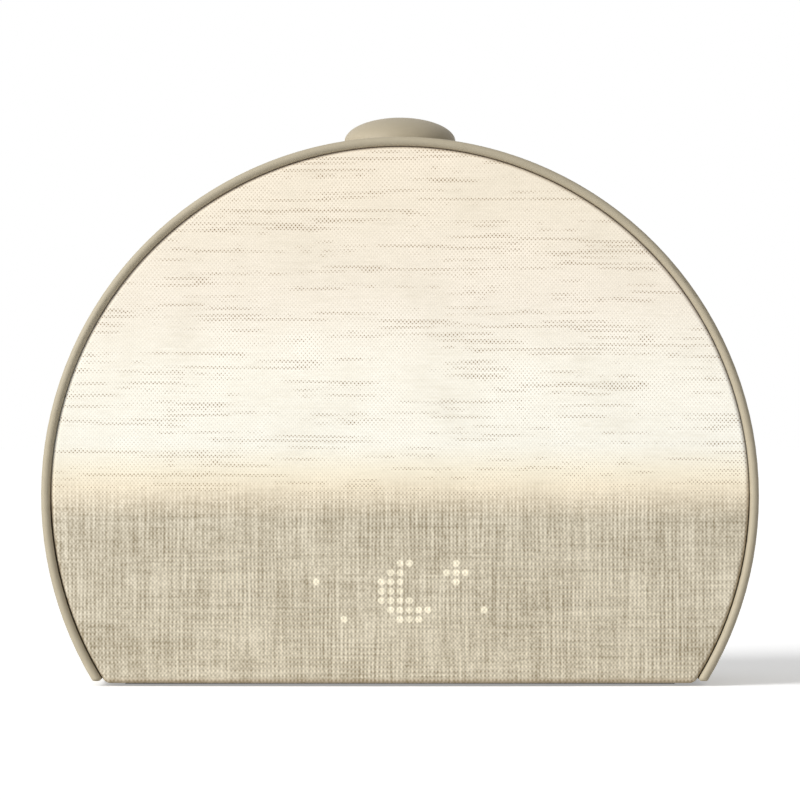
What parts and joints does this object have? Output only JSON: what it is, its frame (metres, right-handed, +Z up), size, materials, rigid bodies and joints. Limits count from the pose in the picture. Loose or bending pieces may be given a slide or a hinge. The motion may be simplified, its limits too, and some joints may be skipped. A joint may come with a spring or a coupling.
{
  "type": "sunrise alarm clock",
  "caption": "Bedside alarm clock with a round flat-footed case, a woven front that lights up like a sunrise over a dot display, a press button on top, and rear dials and loudspeaker.",
  "frame": {"origin": "on the table under the middle of the clock's width and depth", "axes": "+X to the right seen from the front, +Y to the back, +Z up; the woven front faces -Y"},
  "size_m": [0.208, 0.0908, 0.1669],
  "materials": {
    "case_plastic": "soft-touch putty",
    "foot_rubber": "matt dark grey",
    "screw_steel": "zinc plated",
    "linen": "woven slub linen",
    "opal_plastic": "milky",
    "mask_plastic": "opaque",
    "foam": "closed-cell foam",
    "tray_plastic": "white",
    "reflector": "matt white film",
    "lamp_board": "white masked",
    "lamp": "phosphor",
    "dot_lamp": "clear",
    "light_film": "frosted",
    "printed_board": "green solder mask",
    "sensor": "black",
    "ribbon": "white",
    "chip": "black",
    "radio_can": "tinned",
    "capacitor": "sleeved",
    "connector": "ivory",
    "basket_metal": "black",
    "plate_steel": "zinc plated",
    "ferrite": "dark grey",
    "coil": "copper",
    "cone_paper": "black",
    "surround_rubber": "black",
    "spider_cloth": "treated cloth",
    "dark_plastic": "black",
    "grille_plastic": "putty",
    "grille_fabric": "black mesh",
    "button_plastic": "soft-touch putty",
    "spring_steel": "bright",
    "switch_plastic": "black",
    "plunger_plastic": "white",
    "knob_plastic": "putty",
    "encoder_metal": "nickel",
    "shaft_metal": "turned",
    "slider_plastic": "putty",
    "jack_plastic": "black, with a nickel pin",
    "lead_insulation": "paired wires"
  },
  "bodies": {
    "case": {"rear_housing": "case_plastic", "base_plate": "case_plastic", "foot_pad": "foot_rubber", "base_screws": "screw_steel", "chassis_screws": "screw_steel", "board_screws": "screw_steel", "speaker_screws": "screw_steel", "enclosure_screws": "screw_steel", "bracket_screws": "screw_steel", "fabric_cover": "linen", "sunrise_diffuser": "opal_plastic", "display_mask": "mask_plastic", "light_gasket": "foam", "speaker_gasket": "foam", "light_box": "tray_plastic", "reflector_sheet": "reflector", "sunrise_board": "lamp_board", "sunrise_leds": "lamp", "display_leds": "dot_lamp", "display_film": "light_film", "display_board": "printed_board", "main_board": "printed_board", "button_board": "printed_board", "dial_boards": "printed_board", "alarm_board": "printed_board", "power_board": "printed_board", "light_sensor": "sensor", "display_ribbon": "ribbon", "board_chips": "chip", "wifi_module": "radio_can", "capacitors": "capacitor", "board_connectors": "connector", "speaker_basket": "basket_metal", "speaker_top_plate": "plate_steel", "speaker_yoke": "plate_steel", "speaker_magnet": "ferrite", "speaker_surround": "surround_rubber", "speaker_spider": "spider_cloth", "speaker_enclosure": "dark_plastic", "button_bracket": "dark_plastic", "speaker_grille": "grille_plastic", "grille_cloth": "grille_fabric", "button_spring": "spring_steel", "button_switch": "switch_plastic", "alarm_switch": "switch_plastic", "volume_encoder": "encoder_metal", "brightness_encoder": "encoder_metal", "power_jack": "jack_plastic", "wiring": "lead_insulation"},
    "top_button": {"button_cap": "button_plastic", "button_plunger": "plunger_plastic"},
    "volume_dial": {"volume_knob": "knob_plastic", "volume_shaft": "shaft_metal"},
    "brightness_dial": {"brightness_knob": "knob_plastic", "brightness_shaft": "shaft_metal"},
    "alarm_toggle": {"alarm_slider": "slider_plastic", "alarm_lever": "plunger_plastic"},
    "cone": {"speaker_cone": "cone_paper", "voice_coil": "coil", "speaker_dust_cap": "cone_paper"}
  },
  "joints": [
    {"name": "button_press", "type": "slide", "parent": "case", "child": "top_button", "axis": [0, 0, -1], "range_m": [0, 0.0012], "stiffness_N_per_m": 800, "springref_m": -0.001, "deforming": ["button_spring"]},
    {"name": "volume_turn", "type": "hinge", "parent": "case", "child": "volume_dial", "pos_m": [0.052, 0.04035, 0.08], "axis": [0, 1, 0], "continuous": true},
    {"name": "brightness_turn", "type": "hinge", "parent": "case", "child": "brightness_dial", "pos_m": [-0.052, 0.04035, 0.08], "axis": [0, 1, 0], "continuous": true},
    {"name": "alarm_slide", "type": "slide", "parent": "case", "child": "alarm_toggle", "axis": [1, 0, 0], "range_m": [0, 0.004]},
    {"name": "cone_travel", "type": "slide", "parent": "case", "child": "cone", "axis": [0, 1, 0], "range_m": [-0.001, 0.001], "stiffness_N_per_m": 1000, "deforming": ["speaker_surround", "speaker_spider"]}
  ]
}
